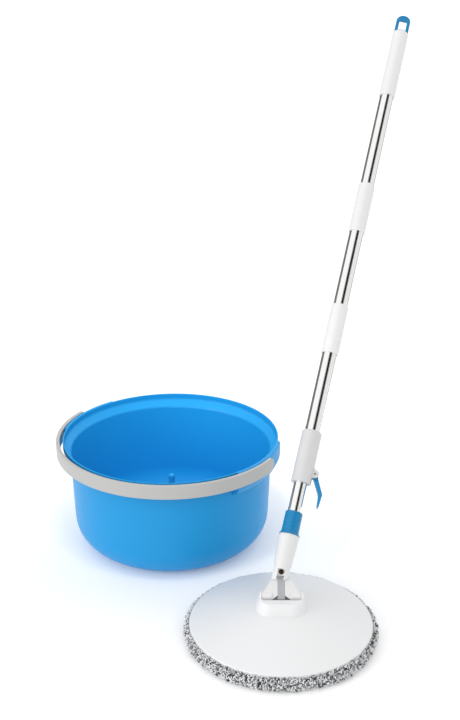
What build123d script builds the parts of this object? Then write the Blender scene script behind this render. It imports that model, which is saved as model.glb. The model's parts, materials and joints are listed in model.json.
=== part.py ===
"""Spin mop set: a round bucket with a swing bail and spin post, and a push-to-spin mop beside it.

Origin: centre of the bucket's base, on the floor. +Z up, +X right, +Y to the back. Millimetres.
The mop stands on its pad in front of the bucket, its pole leaning back and to the right.
"""

from build123d import *
from math import cos, radians, sin, sqrt, tan
import os

os.makedirs("parts", exist_ok=True)

# ---------------------------------------------------------------- driving dimensions
# Fits
press = 0.0  # radial, pieces of one body
running = 0.08  # radial, a pin or shaft that turns or slides in its bore
gap = 0.4  # between faces that move past each other

# Bucket
rim_height = 193.0
rim_radius = 186.0
wall_radius_top = 174.6
wall_radius_floor = 167.6
bucket_wall = 3.0
bucket_corner = 53.0
flare_drop = 22.0  # from the rim down to where the wall starts to flare out
lip_height = 12.0
lip_wall = 2.6

# Bail and its two ears
bail_turn = -30.0  # direction of the right-hand pivot, degrees from +X
bail_width = 24.2
bail_thick = 6.0
bail_gap = 0.8
ear_stand = 4.5  # how far an ear stands out past the rim
ear_wall = 4.0
pivot_drop = 11.5  # from the rim down to the bail's pivot line
ear_half_angle = 22.0
ear_depth = 46.0
stud_radius = 4.0
stud_depth = 4.6  # into the ear
strap_skin = 1.8  # left over the stud's outer end
stop_arm = 8.0  # from the pivot to the stop nub
stop_radius = 1.8
stop_depth = 2.0

# Spin post in the bucket
post_foot_radius = 45.0
post_top_radius = 9.0
post_top_height = 92.0
post_wall = 3.0
post_pin_radius = 3.5
post_cap_radius = 5.5
post_cap_top = 117.0

# Mop head and pad
head_x = 180.5
head_y = -313.0
pad_radius = 150.5
pad_thick = 14.0
pad_hole_radius = 30.0
backing_radius = 134.0
backing_thick = 1.8
hook_thick = 1.0
base_thick = 2.0
plate_radius = 140.8
plate_edge_top = 23.5
plate_edge_round = 3.0
plate_wall = 2.6
skirt_wall = 3.0
plate_rise = 26.0
hub_height = 16.9  # from the plate's middle up to the hinge line
hub_half_width = 33.0
hub_half_depth = 25.0
hub_taper = 16.0
hub_wall = 2.8
pocket_half_depth = 10.6
screw_circle = 90.0
screw_count = 4
screw_start = 45.0  # degrees from +X
screw_radius = 1.6
screw_head_radius = 3.4
screw_head_thick = 1.0
screw_length = 13.0
screw_sink = 0.2  # of the head below the base disc
boss_radius = 4.5
hook_bands = ((76.0, 60.0), (128.0, 108.0))  # outer and inner radius
socket_depth = 21.4

# Knuckle
lean_back = 41.0  # of the link, from upright
lean_right = 13.37  # of the pole, from the link
link_length = 35.45
link_thick = 8.0
link_pin_radius = 2.5
barrel_radius = 6.0
tongue_radius = 10.0
knuckle_pin_radius = 3.0
rivet_head_radius = 4.0

# Pole, distances measured up the pole from the knuckle pin
cone_low_radius = 13.3
cone_top_radius = 16.3
cone_top = 59.7
collar_top = 96.9
collar_radius = 13.6
collar_lip_radius = 16.5
lower_tube_radius = 11.0
upper_tube_radius = 12.5
tube_wall = 1.0
lower_tube_foot = 22.0
lower_tube_top = 325.0
clamp_low = 144.6
clamp_top = 231.0
clamp_wall = 3.5
clamp_radius = upper_tube_radius + clamp_wall
sleeve_wall = 1.65
sleeve_radius = upper_tube_radius + sleeve_wall
joint_1 = 410.3
joint_2 = 639.1
sleeve_1_length = 87.4
sleeve_2_length = 92.5
plug_length = 64.0
plug_rim = 4.0
grip_low = 868.1
grip_top = 1004.8
cap_top = 1044.3
cap_radius = upper_tube_radius + 0.1
cap_thick = 6.4
loop_half_width = 6.9

# Push-to-spin drive
rod_lead = 100.0
rod_width = 6.0
rod_thick = 1.8
rod_low = 190.0
nut_radius = 7.5
nut_low = 303.0
nut_high = 321.0

# Clamp lever
lever_pin_out = clamp_radius + 2.5
lever_pin_height = 162.6
lever_pin_radius = 1.6
lever_head_radius = 5.4
lever_head_half = 3.6
lever_arm_half = 6.0
lug_radius = 6.4
lever_reach = 50.5  # from its pin down to its tip
lug_wall = 3.4

# ---------------------------------------------------------------- frames
floor_plane = Plane.XY
bucket_side = Plane.XZ
head_plane = Plane(origin=(head_x, head_y, 0))
head_side = Plane(origin=(head_x, head_y, 0), x_dir=(1, 0, 0), z_dir=(0, -1, 0))
head_axis = Axis((head_x, head_y, 0), (0, 0, 1))

plate_top = plate_edge_top + plate_rise
link_axis_height = plate_top + hub_height
link_foot = Vector(head_x, head_y, link_axis_height)
link_up = Vector(0, sin(radians(lean_back)), cos(radians(lean_back)))
link_front = Vector(1, 0, 0).cross(link_up)
link_plane = Plane(origin=link_foot, x_dir=(1, 0, 0), z_dir=link_front)

pin_point = link_foot + link_up * link_length
pole_up = link_up * cos(radians(lean_right)) + Vector(1, 0, 0) * sin(radians(lean_right))
pole_right = Vector(1, 0, 0) * cos(radians(lean_right)) - link_up * sin(radians(lean_right))
pole_plane = Plane(origin=pin_point, x_dir=pole_right, z_dir=pole_up)
pole_side = Plane(origin=pin_point, x_dir=pole_right, z_dir=link_front)
pole_axis = Axis(pin_point, pole_up)

bail_out = Vector(cos(radians(bail_turn)), sin(radians(bail_turn)), 0)
bail_along = Vector(sin(radians(bail_turn)), -cos(radians(bail_turn)), 0)
pivot_height = rim_height - pivot_drop
ear_radius = rim_radius + ear_stand
bail_inner = ear_radius + bail_gap
bail_outer = bail_inner + bail_thick


def ring(plane, low, high, outer, inner=0.0, mode=Mode.ADD):
    """A plain disc or ring between two heights above a plane."""
    with BuildSketch(plane.offset(low)) as section:
        Circle(outer)
        if inner:
            Circle(inner, mode=Mode.SUBTRACT)
    extrude(section.sketch, amount=high - low, mode=mode)


def turned(plane, axis, points, mode=Mode.ADD, arc=360.0):
    """A solid turned about an axis from a closed outline of radius and height pairs."""
    with BuildSketch(plane) as section:
        with BuildLine():
            Polyline(*points, close=True)
        make_face()
    revolve(section.sketch, axis=axis, revolution_arc=arc, mode=mode)


def round_corner(sketch, x, y, radius):
    """Round the corner of an open sketch that is at a point."""
    fillet([v for v in sketch.vertices() if abs(v.X - x) < 0.01 and abs(v.Y - y) < 0.01], radius)


def finish(part, name):
    """Label a finished piece and write it."""
    part.label = name
    export_step(part, f"parts/{name}.step")


def upright(turn):
    """The half-plane through the bucket's axis, turned from +X: x is outward and y is up."""
    outward = Vector(cos(radians(turn)), sin(radians(turn)), 0)
    return Plane(origin=(0, 0, 0), x_dir=outward, z_dir=outward.cross(Vector(0, 0, 1)))


def pivot_plane(side, distance):
    """A plane across the bail's pivot line: x runs along the resting strap."""
    outward = bail_out * side
    centre = Vector(0, 0, pivot_height) + outward * distance
    return Plane(origin=centre, x_dir=bail_along, z_dir=outward)


def front_reach(edge):
    """How far the middle of an edge stands in front of the pole's axis."""
    return (edge.center() - pin_point).dot(link_front)


def pole_height(edge):
    """How far up the pole the middle of an edge is."""
    return (edge.center() - pin_point).dot(pole_up)


# ================================================================ bucket
inner_floor = wall_radius_floor - bucket_wall
inner_top = wall_radius_top - bucket_wall
rim_inner = rim_radius - lip_wall
flare_low = rim_height - flare_drop
flare_high = rim_height - lip_height
flare_step = 1.3  # the inside of the flare stands this much higher than its outside
flare_round = 5.0
ear_low = rim_height - ear_depth
ear_inner = ear_radius - ear_wall
stop_slot = 2 * (stop_radius + gap)

with BuildPart() as bucket_shell:
    with BuildSketch(bucket_side) as bucket_profile:
        with BuildLine():
            Polyline(
                (0, 0),
                (wall_radius_floor, 0),
                (wall_radius_top, flare_low),
                (rim_radius, flare_high),
                (rim_radius, rim_height),
                (rim_inner, rim_height),
                (rim_inner, flare_high + flare_step),
                (inner_top, flare_low + flare_step),
                (inner_floor, bucket_wall),
                (0, bucket_wall),
                close=True,
            )
        make_face()
        round_corner(bucket_profile, rim_radius, rim_height, lip_wall / 2 - 0.1)
        round_corner(bucket_profile, rim_inner, rim_height, lip_wall / 2 - 0.1)
        round_corner(bucket_profile, rim_radius, flare_high, flare_round)
        round_corner(bucket_profile, rim_inner, flare_high + flare_step, flare_round)
        round_corner(bucket_profile, wall_radius_top, flare_low, flare_round)
        round_corner(bucket_profile, inner_top, flare_low + flare_step, flare_round)
        round_corner(bucket_profile, wall_radius_floor, 0, bucket_corner)
        round_corner(bucket_profile, inner_floor, bucket_wall, bucket_corner - bucket_wall)
    revolve(bucket_profile.sketch, axis=Axis.Z)

    # The ears: blisters under the rim, open below, that the bail's studs turn in
    for turn in (bail_turn, bail_turn + 180):
        ear_start = upright(turn - ear_half_angle)
        ear_outline = [
            (inner_top + 1, ear_low),
            (ear_radius - 6, ear_low + 6),
            (ear_radius - 1, ear_low + 16),
            (ear_radius, ear_low + 21),
            (ear_radius, rim_height - 2.5),
            (ear_radius - 2.5, rim_height),
            (rim_inner + 1, rim_height),
            (rim_inner + 1, flare_high),
            (inner_top + 1, flare_low),
        ]
        turned(ear_start, Axis.Z, ear_outline, arc=2 * ear_half_angle)
    for turn in (bail_turn, bail_turn + 180):
        hollow_start = upright(turn - ear_half_angle + 1.5)
        hollow_outline = [
            (wall_radius_top + 0.5, ear_low - 2),
            (ear_inner - 5, ear_low - 2),
            (ear_inner - 5, ear_low + 11),
            (ear_inner, ear_low + 21),
            (ear_inner, flare_low + 2),
            (wall_radius_top + 0.5, flare_low - 2),
        ]
        turned(hollow_start, Axis.Z, hollow_outline, mode=Mode.SUBTRACT, arc=2 * ear_half_angle - 3)

    # The stud sockets, and a half-round groove round each that stops the bail level or right over
    for side in (1, -1):
        with BuildSketch(pivot_plane(side, ear_radius - stud_depth - gap)) as stud_socket:
            Circle(stud_radius + running)
        extrude(stud_socket.sketch, amount=2 * stud_depth, mode=Mode.SUBTRACT)
        with BuildSketch(pivot_plane(side, ear_radius - stop_depth)) as stop_groove:
            with BuildLine():
                groove_line = CenterArc((0, 0), stop_arm, 0, 180 * side)
            SlotArc(groove_line, stop_slot)
        extrude(stop_groove.sketch, amount=2 * stop_depth, mode=Mode.SUBTRACT)
finish(bucket_shell.part, "bucket_shell")

post_bore_depth = post_top_height - 30
with BuildPart() as post_cone:
    cone_outline = [
        (post_foot_radius - post_wall, bucket_wall),
        (post_foot_radius, bucket_wall),
        (post_foot_radius, bucket_wall + 2),
        (post_top_radius + 8, post_top_height * 0.5),
        (post_top_radius, post_top_height),
        (post_pin_radius + press, post_top_height),
        (post_pin_radius + press, post_bore_depth - 10),
        (post_top_radius + 3, post_top_height * 0.5),
    ]
    turned(bucket_side, Axis.Z, cone_outline)
finish(post_cone.part, "post_cone")

post_pin_top = post_cap_top - 9
with BuildPart() as post_pin:
    ring(floor_plane, post_bore_depth, post_pin_top, post_pin_radius)
finish(post_pin.part, "post_pin")

with BuildPart() as post_cap:
    cap_bore = post_pin_radius + running
    ring(floor_plane, post_top_height + 1, post_cap_top, post_cap_radius)
    ring(floor_plane, post_top_height + 1, post_pin_top + gap, cap_bore, mode=Mode.SUBTRACT)
    fillet(post_cap.faces().sort_by(Axis.Z)[-1].edges(), 3.6)
finish(post_cap.part, "post_cap")

# ================================================================ bail
stud_end = bail_outer - strap_skin
with BuildPart() as bail_strap:
    with BuildSketch(pivot_plane(1, 0)) as strap_side:
        with Locations((bail_outer / 2 + 2, 0)):
            Rectangle(bail_outer + 4, bail_width)
        Circle(bail_width / 2)
    extrude(strap_side.sketch, amount=bail_outer + 4, both=True)
    with BuildSketch(Plane.XY.offset(pivot_height - bail_width)) as strap_round:
        Circle(bail_outer)
        Circle(bail_inner, mode=Mode.SUBTRACT)
    extrude(strap_round.sketch, amount=2 * bail_width, mode=Mode.INTERSECT)
    circles = bail_strap.edges().filter_by(GeomType.CIRCLE)
    fillet(circles.filter_by(lambda e: e.length > bail_outer), 1.5)
    for side in (1, -1):
        ring(pivot_plane(side, 0), ear_radius, stud_end, stud_radius + press, mode=Mode.SUBTRACT)
        with BuildSketch(pivot_plane(side, ear_radius - stop_depth + gap)) as stop_nub:
            with Locations((-stop_arm, 0)):
                Circle(stop_radius)
        extrude(stop_nub.sketch, amount=bail_gap + stop_depth)
finish(bail_strap.part, "bail_strap")

with BuildPart() as bail_studs:
    for side in (1, -1):
        ring(pivot_plane(side, 0), ear_radius - stud_depth, stud_end, stud_radius)
finish(bail_studs.part, "bail_studs")

# ================================================================ mop head
pad_top = pad_thick + backing_thick
hook_low = pad_top + gap
base_low = hook_low + hook_thick
base_high = base_low + base_thick
plate_edge_low = base_low + 0.6
skirt_inner = plate_radius - skirt_wall
hub_low = plate_top - 2.0
boss_top = plate_edge_top + plate_rise / 2 - 1.0
hub_spread = (link_axis_height - hub_low) * tan(radians(hub_taper))
hub_corner = 18.0
pocket_half_width = hub_half_width - hub_wall
lug_reach = barrel_radius + 0.5
hinge_view = Plane(origin=link_foot, x_dir=(0, 1, 0), z_dir=(1, 0, 0))

with BuildPart() as head_plate:
    with BuildSketch(head_side) as plate_profile:
        with BuildLine():
            edge_out = Line((plate_radius, plate_edge_low), (plate_radius, plate_edge_top))
            dome_middle = ((plate_radius + hub_half_width) / 2, plate_edge_top + plate_rise / 2 + 1.5)
            ThreePointArc(edge_out @ 1, dome_middle, (hub_half_width, plate_top))
            deck_under = (hub_half_width, plate_top - plate_wall)
            Polyline((hub_half_width, plate_top), (0, plate_top), (0, plate_top - plate_wall), deck_under)
            under_end = (skirt_inner, plate_edge_top - plate_wall)
            ThreePointArc(deck_under, (dome_middle[0], dome_middle[1] - plate_wall), under_end)
            Polyline(under_end, (skirt_inner, plate_edge_low), (plate_radius, plate_edge_low))
        make_face()
        round_corner(plate_profile, plate_radius, plate_edge_top, plate_edge_round)
    revolve(plate_profile.sketch, axis=head_axis)

    # The hub: a tapered block with a pocket for the link's foot and two lugs for the hinge pins
    with BuildSketch(head_plane.offset(hub_low)) as hub_outline:
        hub_foot_width = 2 * (hub_half_width + hub_spread)
        hub_foot_depth = 2 * (hub_half_depth + hub_spread)
        RectangleRounded(hub_foot_width, hub_foot_depth, hub_corner + hub_spread)
    extrude(hub_outline.sketch, amount=link_axis_height - hub_low, taper=hub_taper)
    hub_rim = head_plate.faces().sort_by(Axis.Z)[-1].edges()
    fillet(hub_rim, 4.0)
    for side in (1, -1):
        with BuildSketch(hinge_view.offset(side * pocket_half_width)) as lug_view:
            Circle(lug_reach)
        extrude(lug_view.sketch, amount=side * hub_wall)
    with BuildSketch(head_plane.offset(plate_top)) as pocket:
        RectangleRounded(2 * pocket_half_width, 2 * pocket_half_depth, 4.0)
    extrude(pocket.sketch, amount=2 * hub_height, mode=Mode.SUBTRACT)
    with BuildSketch(hinge_view) as pin_holes:
        Circle(link_pin_radius + press)
    extrude(pin_holes.sketch, amount=hub_half_width + hub_spread, both=True, mode=Mode.SUBTRACT)

    # The hub's thick front and back are cored from below
    core_depth = hub_half_depth - pocket_half_depth - 2 * hub_wall
    core_middle = (hub_half_depth + pocket_half_depth) / 2
    with BuildSketch(head_plane.offset(plate_top - 2 * plate_wall)) as cores:
        with Locations((0, core_middle), (0, -core_middle)):
            RectangleRounded(2 * (hub_half_width - hub_corner / 2), core_depth, 2.0)
    extrude(cores.sketch, amount=hub_height + 2 * plate_wall - 7.0, mode=Mode.SUBTRACT)

    # Four bosses under the dome take the base screws
    with BuildSketch(head_plane.offset(base_high)) as bosses:
        with PolarLocations(screw_circle, screw_count, start_angle=screw_start):
            Circle(boss_radius)
    extrude(bosses.sketch, amount=boss_top - base_high)
    with BuildSketch(head_plane.offset(base_high)) as boss_bores:
        with PolarLocations(screw_circle, screw_count, start_angle=screw_start):
            Circle(screw_radius)
    extrude(boss_bores.sketch, amount=screw_length + 1, mode=Mode.SUBTRACT)
finish(head_plate.part, "head_plate")

socket_flange = 24.0
with BuildPart() as base_disc:
    ring(head_plane, base_low, base_high, skirt_inner - gap, socket_flange)
    with BuildSketch(head_plane.offset(base_low)) as screw_holes:
        with PolarLocations(screw_circle, screw_count, start_angle=screw_start):
            Circle(screw_radius)
    extrude(screw_holes.sketch, amount=base_thick, mode=Mode.SUBTRACT)
    with BuildSketch(head_plane.offset(base_low)) as screw_seats:
        with PolarLocations(screw_circle, screw_count, start_angle=screw_start):
            Circle(screw_head_radius + screw_sink)
    extrude(screw_seats.sketch, amount=screw_sink + screw_head_thick, mode=Mode.SUBTRACT)
finish(base_disc.part, "base_disc")

with BuildPart() as base_screws:
    for turn in range(screw_count):
        with BuildSketch(head_plane.offset(base_low + screw_sink)) as screw_head:
            with PolarLocations(screw_circle, 1, start_angle=screw_start + turn * 360 / screw_count):
                Circle(screw_head_radius)
        extrude(screw_head.sketch, amount=screw_head_thick)
        with BuildSketch(head_plane.offset(base_low + screw_sink)) as screw_shank:
            with PolarLocations(screw_circle, 1, start_angle=screw_start + turn * 360 / screw_count):
                Circle(screw_radius)
        extrude(screw_shank.sketch, amount=screw_length)
finish(base_screws.part, "base_screws")

socket_bore = post_cap_radius + gap
with BuildPart() as drive_socket:
    ring(head_plane, base_low, base_high, socket_flange)
    ring(head_plane, base_high, base_low + socket_depth + 4, socket_bore + 3.5)
    ring(head_plane, base_low, base_low + socket_depth, socket_bore, mode=Mode.SUBTRACT)
finish(drive_socket.part, "drive_socket")

with BuildPart() as hook_rings:
    for band_outer, band_inner in hook_bands:
        ring(head_plane, hook_low, base_low, band_outer, band_inner)
finish(hook_rings.part, "hook_rings")

hinge_pin_inner = 19.0
with BuildPart() as hinge_pins:
    for side in (1, -1):
        pin_line = Plane(origin=link_foot, x_dir=(0, 1, 0), z_dir=(side, 0, 0))
        ring(pin_line, hinge_pin_inner, hub_half_width - 0.2, link_pin_radius)
finish(hinge_pins.part, "hinge_pins")

# ================================================================ pad
with BuildPart() as pad_fibre:
    ring(head_plane, 0, pad_thick, pad_radius, pad_hole_radius)
    circles = pad_fibre.edges().filter_by(GeomType.CIRCLE)
    fillet(circles.filter_by(lambda e: e.radius > pad_radius - 1), 0.45 * pad_thick)
finish(pad_fibre.part, "pad_fibre")

with BuildPart() as pad_backing:
    ring(head_plane, pad_thick, pad_top, backing_radius, pad_hole_radius)
finish(pad_backing.part, "pad_backing")

# ================================================================ knuckle link
wing_reach = pocket_half_width - 0.6
wing_shoulder = 15.0
wing_drop = 5.5  # how far the link's foot reaches below the hinge line
barrel_inner = 14.5
slot_half = link_thick / 2 + 0.3
rib_width = 11.2
rib_thick = 2.5
rib_high = link_length - knuckle_pin_radius - 2.8
shoulder_height = link_length - cone_low_radius + 3

with BuildPart() as link_frame:
    with BuildSketch(link_plane) as link_outline:
        with BuildLine():
            Polyline(
                (-wing_reach, -wing_drop),
                (-wing_reach, 2),
                (-wing_shoulder, shoulder_height),
                (-tongue_radius, link_length),
                (tongue_radius, link_length),
                (wing_shoulder, shoulder_height),
                (wing_reach, 2),
                (wing_reach, -wing_drop),
                close=True,
            )
        make_face()
        with Locations((0, link_length)):
            Circle(tongue_radius)
        for side in (1, -1):
            with BuildLine():
                rib_side = side * rib_width / 2
                barrel_side = side * barrel_inner
                Polyline((rib_side, -wing_drop), (barrel_side, -wing_drop), (rib_side, 0.5), close=True)
            make_face(mode=Mode.SUBTRACT)
    extrude(link_outline.sketch, amount=link_thick / 2, both=True)
    for side in (1, -1):
        with BuildSketch(hinge_view.offset(side * barrel_inner)) as barrel:
            Circle(barrel_radius)
        extrude(barrel.sketch, amount=side * (wing_reach - barrel_inner))

    # The front channel that the rib lies in, and the bores
    with BuildSketch(link_plane.offset(link_thick / 2 - rib_thick)) as channel:
        with Locations((0, (rib_high - wing_drop) / 2)):
            Rectangle(rib_width, rib_high + wing_drop)
    extrude(channel.sketch, amount=2 * rib_thick, mode=Mode.SUBTRACT)
    with BuildSketch(hinge_view) as barrel_bore:
        Circle(link_pin_radius + running)
    extrude(barrel_bore.sketch, amount=wing_reach, both=True, mode=Mode.SUBTRACT)
    with BuildSketch(link_plane) as tongue_bore:
        with Locations((0, link_length)):
            Circle(knuckle_pin_radius + running)
    extrude(tongue_bore.sketch, amount=link_thick, both=True, mode=Mode.SUBTRACT)
finish(link_frame.part, "link_frame")

with BuildPart() as link_rib:
    with BuildSketch(link_plane.offset(link_thick / 2 - rib_thick)) as rib_outline:
        with Locations((0, (rib_high - wing_drop) / 2)):
            Rectangle(rib_width, rib_high + wing_drop)
    extrude(rib_outline.sketch, amount=rib_thick)
    chamfer(link_rib.faces().sort_by(Axis(link_foot, link_front))[-1].edges(), 0.6)
finish(link_rib.part, "link_rib")

# ================================================================ lower pole
slot_top = tongue_radius + 3.5
spigot_top = cone_top + 7.0
rivet_seat = cone_low_radius - 3.4
rivet_reach = rivet_seat + 1.8
recess_half = rib_width / 2
recess_low = -rivet_head_radius - 0.8
recess_high = rivet_head_radius + 0.3

with BuildPart() as cone_socket:
    cone_outline = [
        (0, -cone_low_radius),
        (cone_low_radius, -cone_low_radius),
        (cone_low_radius, 4),
        (cone_top_radius, cone_top - 3),
        (cone_top_radius - 0.8, cone_top),
        (collar_radius - 1.0, cone_top),
        (collar_radius - 1.0, spigot_top),
        (lower_tube_radius + press, spigot_top),
        (lower_tube_radius + press, lower_tube_foot),
        (0, lower_tube_foot),
    ]
    turned(pole_side, pole_axis, cone_outline)
    with BuildSketch(pole_side) as nose_waste:
        with Locations((0, -cone_low_radius)):
            Rectangle(4 * cone_low_radius, 2 * cone_low_radius)
        Circle(cone_low_radius, mode=Mode.SUBTRACT)
    extrude(nose_waste.sketch, amount=2 * cone_low_radius, both=True, mode=Mode.SUBTRACT)
    with BuildSketch(pole_side) as slot_view:
        with Locations((0, (slot_top - 2 * cone_low_radius) / 2)):
            Rectangle(4 * cone_low_radius, slot_top + 2 * cone_low_radius)
    extrude(slot_view.sketch, amount=slot_half, both=True, mode=Mode.SUBTRACT)
    with BuildSketch(pole_side) as rivet_hole:
        Circle(knuckle_pin_radius + press)
    extrude(rivet_hole.sketch, amount=2 * cone_low_radius, both=True, mode=Mode.SUBTRACT)
    for side in (1, -1):
        with BuildSketch(pole_side.offset(side * rivet_seat)) as rivet_recess:
            with Locations((0, (recess_low + recess_high) / 2)):
                Rectangle(2 * recess_half, recess_high - recess_low)
        extrude(rivet_recess.sketch, amount=side * cone_low_radius, mode=Mode.SUBTRACT)
    with BuildSketch(pole_side) as front_notch:
        with Locations((0, (recess_low - cone_low_radius) / 2 - 1)):
            Rectangle(2 * recess_half, cone_low_radius + recess_low + 2)
    extrude(front_notch.sketch, amount=2 * cone_low_radius, mode=Mode.SUBTRACT)
finish(cone_socket.part, "cone_socket")

with BuildPart() as knuckle_pin:
    ring(pole_side, -rivet_seat, rivet_seat, knuckle_pin_radius)
    ring(pole_side, rivet_seat, rivet_reach, rivet_head_radius)
    ring(pole_side, -rivet_reach, -rivet_seat, rivet_head_radius)
    circles = knuckle_pin.edges().filter_by(GeomType.CIRCLE)
    rims = circles.filter_by(lambda e: e.radius > knuckle_pin_radius + 0.5).sort_by(front_reach)
    fillet([rims[0], rims[-1]], 0.8)
finish(knuckle_pin.part, "knuckle_pin")

with BuildPart() as lower_tube:
    ring(pole_plane, lower_tube_foot, lower_tube_top, lower_tube_radius, lower_tube_radius - tube_wall)
finish(lower_tube.part, "lower_tube")

with BuildPart() as lock_collar:
    collar_outline = [
        (lower_tube_radius + running, collar_top),
        (collar_radius - 1.2, collar_top),
        (collar_radius, collar_top - 1.6),
        (collar_radius, cone_top + 7),
        (collar_radius + 0.8, cone_top + 3.5),
        (collar_lip_radius, cone_top + 0.5),
        (collar_lip_radius, cone_top + gap / 2),
        (collar_radius - 1.0 + running, cone_top + gap / 2),
        (collar_radius - 1.0 + running, spigot_top + gap),
        (lower_tube_radius + running, spigot_top + gap),
    ]
    turned(pole_side, pole_axis, collar_outline)
finish(lock_collar.part, "lock_collar")

rod_reach = sqrt(rod_width**2 + rod_thick**2) / 2
tube_bore = lower_tube_radius - tube_wall
with BuildPart() as clutch_housing:
    ring(pole_plane, nut_low - 7, lower_tube_top, tube_bore)
    ring(pole_plane, lower_tube_top, lower_tube_top + 2, lower_tube_radius)
    ring(pole_plane, nut_low - 7, nut_high, nut_radius, mode=Mode.SUBTRACT)
    ring(pole_plane, nut_high, lower_tube_top + 2, rod_reach + gap, mode=Mode.SUBTRACT)
finish(clutch_housing.part, "clutch_housing")

with BuildPart() as clutch_ring:
    ring(pole_plane, nut_low - 5, nut_low, nut_radius, rod_reach + gap)
finish(clutch_ring.part, "clutch_ring")


def rod_section(width, thick, height):
    """The flat bar's section at a height up the pole, turned by the lead."""
    turn = 360 * (height - rod_low) / rod_lead
    with BuildSketch(pole_plane.offset(height)) as section:
        Rectangle(width, thick, rotation=turn)
    return section.sketch.faces()[0]


def twisted_bar(width, thick, low, high):
    """A flat bar twisted about the pole's axis at the drive's lead."""
    turn = 360 * (high - low) / rod_lead
    centre = pin_point + pole_up * low
    return Solid.extrude_linear_with_rotation(
        rod_section(width, thick, low), centre, pole_up * (high - low), turn
    )


with BuildPart() as drive_nut:
    ring(pole_plane, nut_low, nut_high, nut_radius)
    nut_slot = twisted_bar(rod_width + gap, rod_thick + gap, nut_low - 2, nut_high + 2)
    add(nut_slot, mode=Mode.SUBTRACT)
finish(drive_nut.part, "drive_nut")

# ================================================================ guide bush
bush_low = clamp_low + 2.5
bush_high = bush_low + 40.0
bush_radius = upper_tube_radius
with BuildPart() as guide_bush:
    ring(pole_plane, bush_low, bush_high, bush_radius, lower_tube_radius + running)
    with BuildSketch(pole_plane.offset(bush_low)) as bush_slit:
        with Locations((-bush_radius, 0)):
            Rectangle(bush_radius, 1.6)
    extrude(bush_slit.sketch, amount=bush_high - bush_low, mode=Mode.SUBTRACT)
finish(guide_bush.part, "guide_bush")

# ================================================================ upper pole
tube_seat = bush_high + gap
joint_2_low = joint_2 - plug_rim / 2
joint_1_low = joint_1 - plug_rim / 2

with BuildPart() as clamp_body:
    clamp_outline = [
        (lower_tube_radius + gap, clamp_low),
        (clamp_radius - 1.2, clamp_low),
        (clamp_radius, clamp_low + 1.2),
        (clamp_radius, clamp_top - 2),
        (clamp_radius - 2, clamp_top),
        (upper_tube_radius + press, clamp_top),
        (upper_tube_radius + press, tube_seat),
        (bush_radius + running, tube_seat),
        (bush_radius + running, bush_low - gap),
        (lower_tube_radius + gap, bush_low - gap),
    ]
    turned(pole_side, pole_axis, clamp_outline)

    # The fork that carries the lever, and the window its cam works through
    with BuildSketch(pole_side) as fork_view:
        with BuildLine():
            Polyline(
                (clamp_radius - 2, lever_pin_height - lug_radius - 1),
                (lever_pin_out, lever_pin_height - lug_radius),
                (lever_pin_out, lever_pin_height + lug_radius),
                (clamp_radius - 2, lever_pin_height + lug_radius + 5),
                close=True,
            )
        make_face()
        with Locations((lever_pin_out, lever_pin_height)):
            Circle(lug_radius)
    fork_half = lever_head_half + gap - 0.05
    extrude(fork_view.sketch, amount=fork_half + lug_wall, both=True)
    with BuildSketch(pole_side) as window_view:
        with Locations((bush_radius + lug_radius + 4, lever_pin_height)):
            Rectangle(2 * (lug_radius + 4), 22)
    extrude(window_view.sketch, amount=fork_half, both=True, mode=Mode.SUBTRACT)
    with BuildSketch(pole_side) as lug_bore:
        with Locations((lever_pin_out, lever_pin_height)):
            Circle(lever_pin_radius + press)
    extrude(lug_bore.sketch, amount=4 * lug_radius, both=True, mode=Mode.SUBTRACT)
    ring(pole_plane, bush_low - gap, tube_seat, bush_radius + running, mode=Mode.SUBTRACT)
finish(clamp_body.part, "clamp_body")

with BuildPart() as lever_pin:
    with BuildSketch(pole_side) as lever_pin_view:
        with Locations((lever_pin_out, lever_pin_height)):
            Circle(lever_pin_radius)
    extrude(lever_pin_view.sketch, amount=fork_half + lug_wall + 0.5, both=True)
finish(lever_pin.part, "lever_pin")

with BuildPart() as tube_1:
    ring(pole_plane, tube_seat, joint_1_low, upper_tube_radius, upper_tube_radius - tube_wall)
finish(tube_1.part, "tube_1")

with BuildPart() as tube_2:
    ring(pole_plane, joint_1_low + plug_rim, joint_2_low, upper_tube_radius, upper_tube_radius - tube_wall)
finish(tube_2.part, "tube_2")

with BuildPart() as tube_3:
    ring(pole_plane, joint_2_low + plug_rim, grip_top, upper_tube_radius, upper_tube_radius - tube_wall)
finish(tube_3.part, "tube_3")

plug_bore = upper_tube_radius - tube_wall
rod_pin_height = joint_1 - plug_length / 2 + 10
rod_pin_radius = 1.5
rod_head_radius = rod_reach + 0.2
with BuildPart() as joiner_1:
    ring(pole_plane, joint_1 - plug_length / 2, joint_1 + plug_length / 2, plug_bore)
    ring(pole_plane, joint_1_low, joint_1_low + plug_rim, upper_tube_radius)
    ring(pole_plane, joint_1 - plug_length / 2, rod_pin_height + 10, rod_head_radius, mode=Mode.SUBTRACT)
    with BuildSketch(pole_side) as pin_hole:
        with Locations((0, rod_pin_height)):
            Circle(rod_pin_radius)
    extrude(pin_hole.sketch, amount=plug_bore, both=True, mode=Mode.SUBTRACT)
finish(joiner_1.part, "joiner_1")

with BuildPart() as joiner_2:
    ring(pole_plane, joint_2 - plug_length / 2, joint_2 + plug_length / 2, plug_bore)
    ring(pole_plane, joint_2_low, joint_2_low + plug_rim, upper_tube_radius)
finish(joiner_2.part, "joiner_2")

with BuildPart() as twist_rod:
    rod_head_low = joint_1 - plug_length / 2
    add(twisted_bar(rod_width, rod_thick, rod_low, rod_head_low))
    ring(pole_plane, rod_head_low, rod_pin_height + 10, rod_head_radius)
    with BuildSketch(pole_side) as head_hole:
        with Locations((0, rod_pin_height)):
            Circle(rod_pin_radius)
    extrude(head_hole.sketch, amount=plug_bore, both=True, mode=Mode.SUBTRACT)
finish(twist_rod.part, "twist_rod")

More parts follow.
